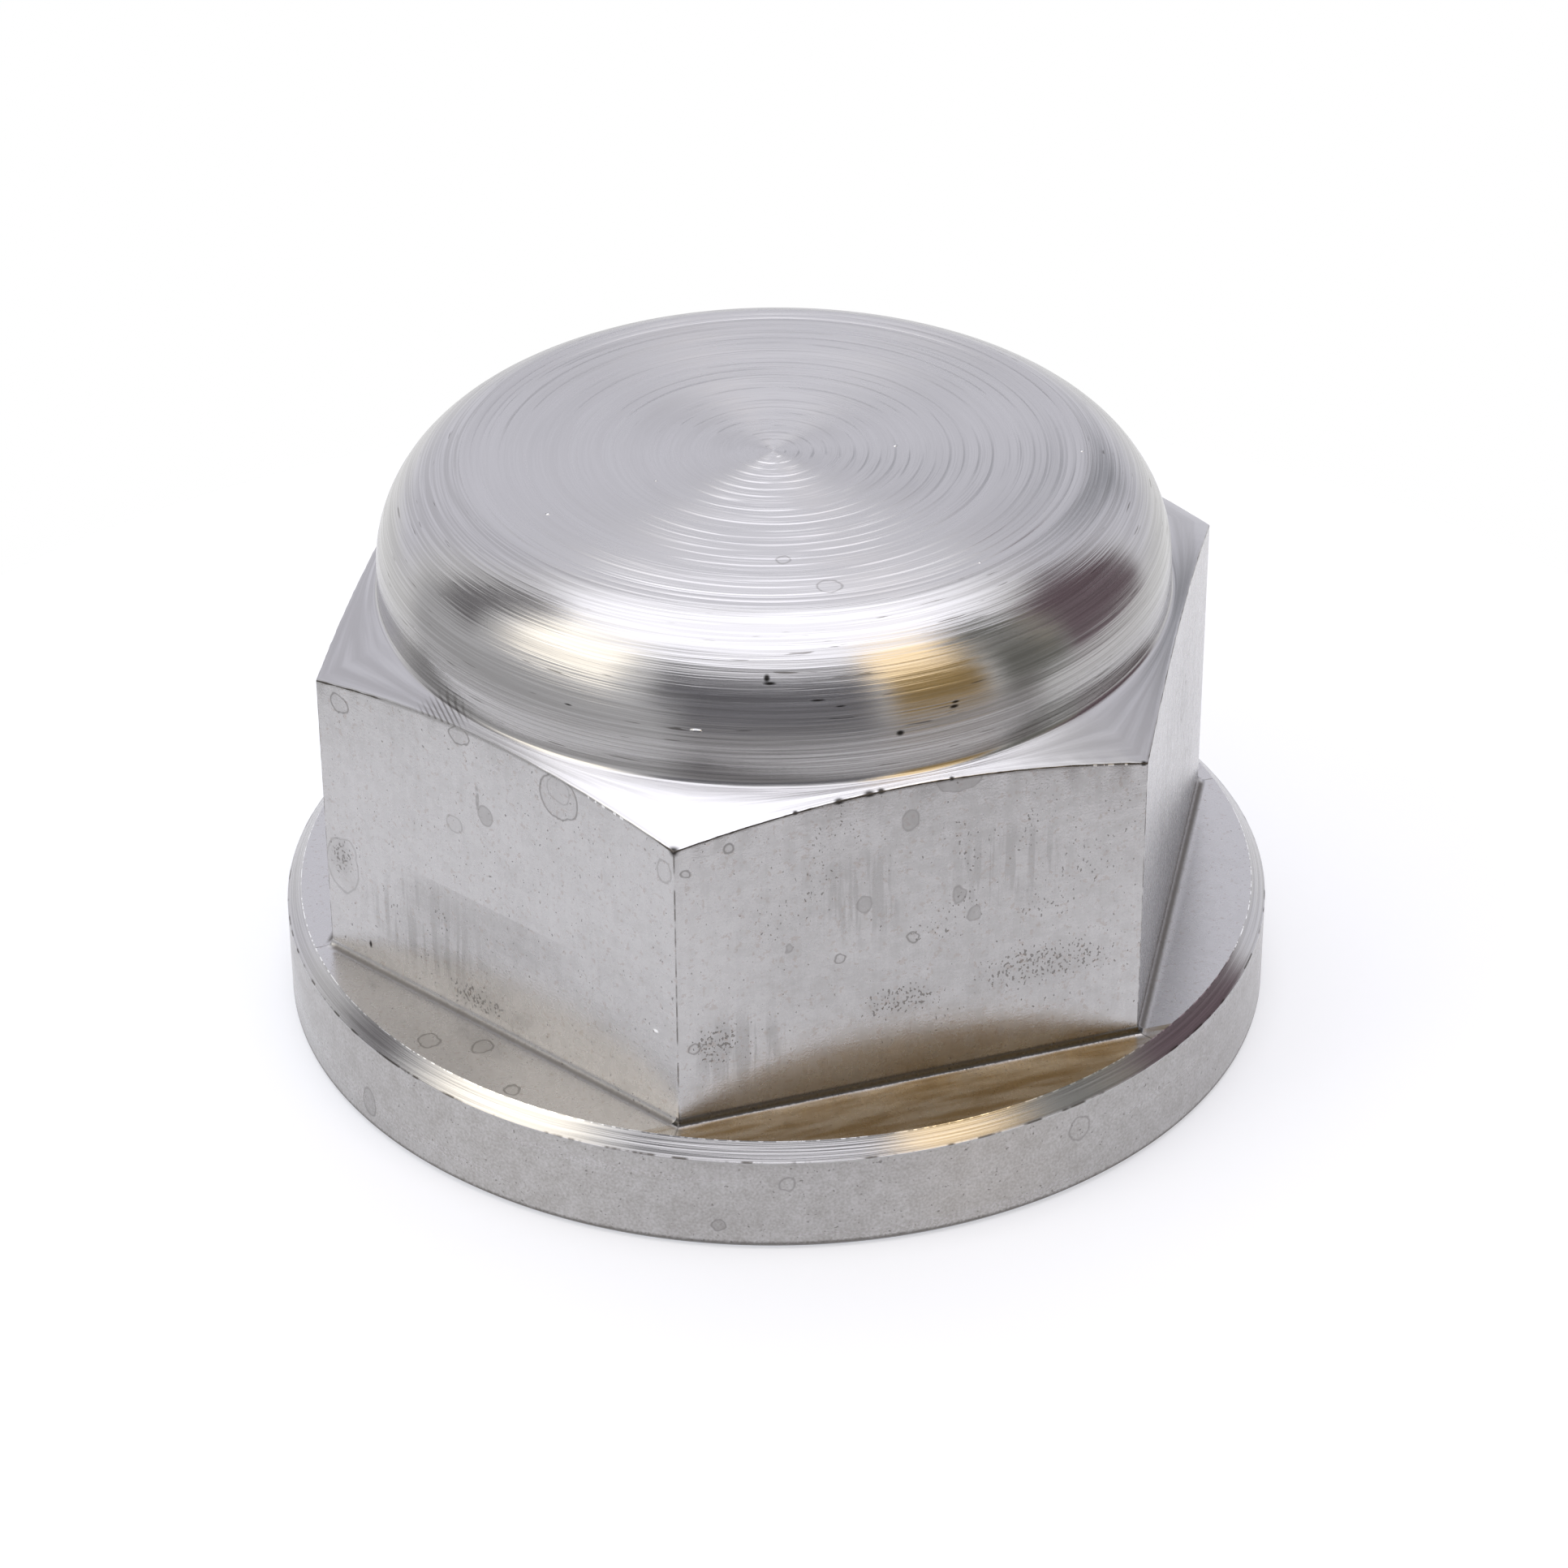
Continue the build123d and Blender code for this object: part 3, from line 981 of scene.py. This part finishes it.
# The flats, their rounded roots and the flange's top
def milledTitanium():
    look = milledLook
    limits, cover = look["limits"], look["cover"]
    material, tree, shader, place = startMetal("milledTitanium", look["roughness"])
    noises = {name: noise(tree, place, *values) for name, values in look["noises"].items()}
    cloud, passes = noises["cloud"], noises["passes"]
    up = addNode(tree, "ShaderNodeSeparateXYZ", {0: place}).outputs["Z"]
    onHexagon = fadeFrom(tree, up, nut["flangeTop"], *limits["hexagon"])
    flatGrain = times(tree, noises["grain"], onHexagon)
    rubs = times(tree, fade(tree, noises["rubs"], *limits["rubs"]),
                 plus(tree, look["leastRub"], patchMask(tree, place, rubPatches)))
    ended = times(tree, fadeFrom(tree, up, look["passEnd"], *limits["passEnd"]),
                  patchMask(tree, place, passPatches))
    # Painted shade: the right flat, and patches elsewhere, darker; there the pits are a little thicker
    shadedPatch = patchMask(tree, place, shadedPatches)
    darkened = {
        "mottle": noises["mottle"], "cloud": cloud, "grain": flatGrain, "passes": passes, "rubs": rubs,
        "ended": ended, "shadedPatch": shadedPatch,
    }
    shade = weighed(tree, *[(value, look["shades"][name]) for name, value in darkened.items()])
    colour = paint(tree, metal["colour"], "shade", fade(tree, shade, *limits["shade"]))
    # Small pits, thick in a few patches and thin elsewhere
    pitted = patchMask(tree, place, pitPatches)
    scatter = times(tree, fade(tree, noises["scatter"], *limits["scatter"]), look["pitScatter"],
                    plus(tree, shadedPatch, look["leastScatter"]))
    thicker = plus(tree, times(tree, pitted, look["pitThicker"]), scatter)
    pits = fade(tree, plus(tree, noises["pits"], thicker), *limits["pits"])
    drops = dropMarks(tree, place, milledDrops, look["dropWobble"])
    # The root of the flats: a soft dark line painted along its crease, and under the right flat a thick
    # band of painted shade with a black core, where a brown film of painted reflection covers the flange
    wander = times(tree, minus(tree, noises["grain"], 0.5), look["rootWander"])
    fromRoot = plus(tree, minus(tree, attribute(tree, "along"), rootPlace), wander)
    underRight = vectorCalc(tree, "DOT_PRODUCT", place, turned((1, 0, 0), look["darkestFoot"]), output="Value")
    underRight = calc(tree, "GREATER_THAN", underRight, nut["halfFlats"] - look["flatMargin"])
    reach = attribute(tree, "reach")
    valley = times(tree, fade(tree, apart(tree, fromRoot, look["valley"]), *limits["valley"]),
                   minus(tree, 1.0, underRight), fadeFrom(tree, reach, cornerRatio, *limits["valleyEnds"]))
    thick = fade(tree, apart(tree, fromRoot, look["thickShade"]), *limits["thickShade"])
    thick = times(tree, thick, underRight, cover["thickShade"])
    core = fade(tree, apart(tree, fromRoot, look["core"]), *limits["core"])
    # Painted reflection: a brown film on the flange under the right flat, smeared, for the warm light it
    # reflects
    warmReflectionFilm = times(tree, fadeFrom(tree, up, nut["flangeTop"], *limits["warmReflectionFilm"]), underRight,
                 plus(tree, look["warmReflectionShare"], fade(tree, noises["smear"], *limits["smear"])))
    # A fine dark line down the corners
    corner = times(tree, fadeFrom(tree, reach, cornerRatio, *limits["corner"]),
                   fade(tree, noises["ticks"], *limits["ticks"]))
    # What is painted on the metal, the lowest first, among it painted shade, painted reflection and painted
    # glints: colour, mask and share
    layers = [
        ("shade", pitted, cover["pitted"]),
        ("dirtAndShade", pits, cover["pits"]),
        ("brown", fade(tree, noises["brown"], *limits["brown"]), cover["brown"]),
        ("stain", drops, cover["drops"]),
        # The soft dark line along the root, and the thick band of painted shade under the right flat with
        # its black core
        ("dirtAndShade", calc(tree, "MAXIMUM", times(tree, valley, cover["valley"]), thick), 1),
        ("nickAndShade", times(tree, core, underRight), 1),
        ("warmReflectionFilm", warmReflectionFilm, cover["warmReflectionFilm"]),
        ("dirtAndShade", corner, cover["corner"]),
        ("nickAndShade", patchMask(tree, place, milledNicks), 1),
        ("paintedGlint", patchMask(tree, place, milledGlintFlecks), 1),
    ]
    colour = paintBurr(tree, paintLayers(tree, colour, layers), outwards(tree, place), place)
    roughness = plus(tree, look["roughness"] - look["smoother"], times(tree, cloud, look["cloudRougher"]),
                     times(tree, drops, look["dropRougher"]), times(tree, valley, look["valleyRougher"]))
    raised = {"grain": flatGrain, "passes": passes, "pits": pits}
    height = weighed(tree, *[(value, look["heights"][name]) for name, value in raised.items()])
    finishMetal(tree, shader, colour, roughness, height)
    return material


threadLook = {
    "roughness": 0.3,
    "smoothest": 0.2,
    "rougher": 0.2,
    "noise": (1.0, 3.0, 1.0, (0.4, 0.4, 6.0)),
    "tone": (0.35, 0.75),
    "height": 0.006,        # mm
}


def threadTitanium():
    look = threadLook
    material, tree, shader, place = startMetal("threadTitanium", look["roughness"])
    tone = noise(tree, place, *look["noise"])
    colour = paint(tree, metal["stain"], "colour", fade(tree, tone, *look["tone"]))
    roughness = plus(tree, look["smoothest"], times(tree, tone, look["rougher"]))
    finishMetal(tree, shader, colour, roughness, times(tree, tone, look["height"]))
    return material


axleNut = makeNut((turnedTitanium(), milledTitanium(), threadTitanium()))
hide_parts("axle_nut")
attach(axleNut, "root")

# The studio
studio = {
    "background": 1.0,      # what the camera and the metal see
    "fill": 0.7,            # what lights the floor
    "radius": 0.6,          # m, of the outermost card
    "step": 0.02,           # m, how much nearer each next card stands
    "across": 32,           # faces in a card
    "upward": 16,
}
# Cards: azimuth from straight behind the nut, positive to the right, and half width; elevation and half
# height; softness, all in degrees; and colour
cards = {
    "overhead": (0, 180, 90, 32, 24, (2.3, 2.3, 2.45)),
    "back": (0, 55, 26, 26, 18, (0.96, 0.96, 1.04)),
    "front": (183.5, 33, 22, 27, 12, (0.2, 0.197, 0.215)),
    "frontLow": (183.5, 36, -32, 30, 12, (0.42, 0.41, 0.42)),
    "rightBack": (28, 8, 28, 13, 14, (0.44, 0.45, 0.49)),
    "leftLow": (-108, 45, -20, 38, 14, (0.66, 0.66, 0.67)),
    "window": (-113, 18, 40, 15, 14, (2.7, 2.55, 2.25)),
    "leftPost": (-77, 9, 36, 20, 9, (0.23, 0.22, 0.23)),
    "rightLow": (128, 25, -32, 28, 8, (0.42, 0.40, 0.4)),
    "rightPanel": (76, 18, 22, 26, 8, (0.2, 0.145, 0.165)),
    "rightPost": (105, 12, 26, 32, 8, (0.22, 0.22, 0.2)),
    "slit": (96, 3.5, 30, 12, 6, (0.42, 0.39, 0.32)),
    "gold": (134, 14, 26, 26, 5, (0.4, 0.26, 0.085)),
    "goldTop": (134, 14, 50, 11, 8, (2.4, 1.85, 1.1)),
}


def cardMaterial(name, colour, soft):
    material = bpy.data.materials.new(name)
    material.use_nodes = True
    material.cycles.emission_sampling = "NONE"
    tree = material.node_tree
    tree.nodes.clear()
    light = addNode(tree, "ShaderNodeEmission", {"Color": (*colour, 1), "Strength": 1.0}).outputs[0]
    clear = addNode(tree, "ShaderNodeBsdfTransparent").outputs[0]
    solid = fade(tree, attribute(tree, "inset"), soft, 0.0)
    both = addNode(tree, "ShaderNodeMixShader", {0: solid, 1: clear, 2: light}).outputs[0]
    addNode(tree, "ShaderNodeOutputMaterial", {"Surface": both})
    return material


# A card is a patch of a sphere about the nut, with soft edges
def makeCard(name, radius, azimuth, halfWidth, elevation, halfHeight, soft, colour):
    whole = halfWidth >= 180
    wide = halfWidth + (0 if whole else soft / 2)
    tall = halfHeight + soft / 2
    across, upward = studio["across"], studio["upward"]
    column = upward + 1     # points in a column
    points, insets = [], []
    for i in range(across + 1):
        for k in range(column):
            side = wide * (2 * i / across - 1)
            rise = tall * (2 * k / upward - 1)
            angle = math.radians(90 - azimuth - side + shot["azimuth"])
            lift = math.radians(min(elevation + rise, 90))
            points.append((
                radius * math.cos(lift) * math.cos(angle),
                radius * math.cos(lift) * math.sin(angle),
                radius * math.sin(lift),
            ))
            insets.append(min(tall - abs(rise), soft if whole else wide - abs(side)))
    corners = [i * column + k for i in range(across) for k in range(upward)]
    faces = [(a, a + column, a + column + 1, a + 1) for a in corners]
    mesh = bpy.data.meshes.new(name)
    mesh.from_pydata(points, [], faces)
    mesh.attributes.new("inset", "FLOAT", "POINT").data.foreach_set("value", insets)
    mesh.materials.append(cardMaterial(name, colour, soft))
    card = addObject(name, mesh)
    card.visible_camera = False


def makeWorld():
    world = bpy.data.worlds.new("studio")
    bpy.context.scene.world = world
    world.use_nodes = True
    tree = world.node_tree
    path = addNode(tree, "ShaderNodeLightPath").outputs
    seen = calc(tree, "MAXIMUM", path["Is Camera Ray"], path["Is Glossy Ray"])
    seen = calc(tree, "MAXIMUM", seen, path["Is Transmission Ray"])
    background = tree.nodes["Background"]
    background.inputs["Color"].default_value = (1, 1, 1, 1)
    strength = blendFloat(tree, seen, studio["fill"], studio["background"])
    tree.links.new(strength, background.inputs["Strength"])
    for number, (name, values) in enumerate(cards.items()):
        makeCard(name, studio["radius"] - number * studio["step"], *values)
    print("studio lit")


# A round white sheet under the nut, glowing enough to join the white behind it
floorSizes = {
    "radius": 0.045,        # m
    "albedo": 0.45,
    "gap": 0.00001,         # m, under the seat
    "points": 96,
    "glow": (0.525, 0.535, 0.57, 1),
}


def makeFloor():
    mesh = bpy.data.meshes.new("floor")
    radius = floorSizes["radius"]
    points = floorSizes["points"]
    angles = [fullTurn * k / points for k in range(points)]
    ring = [(radius * math.cos(angle), radius * math.sin(angle), 0) for angle in angles]
    mesh.from_pydata(ring, [], [tuple(range(points))])
    floor = addObject("floor", mesh)
    material = bpy.data.materials.new("floorWhite")
    material.use_nodes = True
    tree = material.node_tree
    shader = tree.nodes["Principled BSDF"]
    albedo = floorSizes["albedo"]
    shader.inputs["Base Color"].default_value = (albedo, albedo, albedo, 1)
    shader.inputs["Roughness"].default_value = 1
    shader.inputs["Specular IOR Level"].default_value = 0
    shader.inputs["Emission Color"].default_value = floorSizes["glow"]
    shader.inputs["Emission Strength"].default_value = 1
    # Seen from below it is clear, so that the seat and the bore show
    below = addNode(tree, "ShaderNodeNewGeometry").outputs["Backfacing"]
    clear = addNode(tree, "ShaderNodeBsdfTransparent").outputs[0]
    both = addNode(tree, "ShaderNodeMixShader", {0: below, 1: shader.outputs[0], 2: clear}).outputs[0]
    tree.links.new(both, tree.nodes["Material Output"].inputs["Surface"])
    mesh.materials.append(material)
    floor.location.z = -floorSizes["gap"]
    print("floor laid")


makeWorld()
makeFloor()
bpy.context.scene.view_settings.view_transform = "Standard"
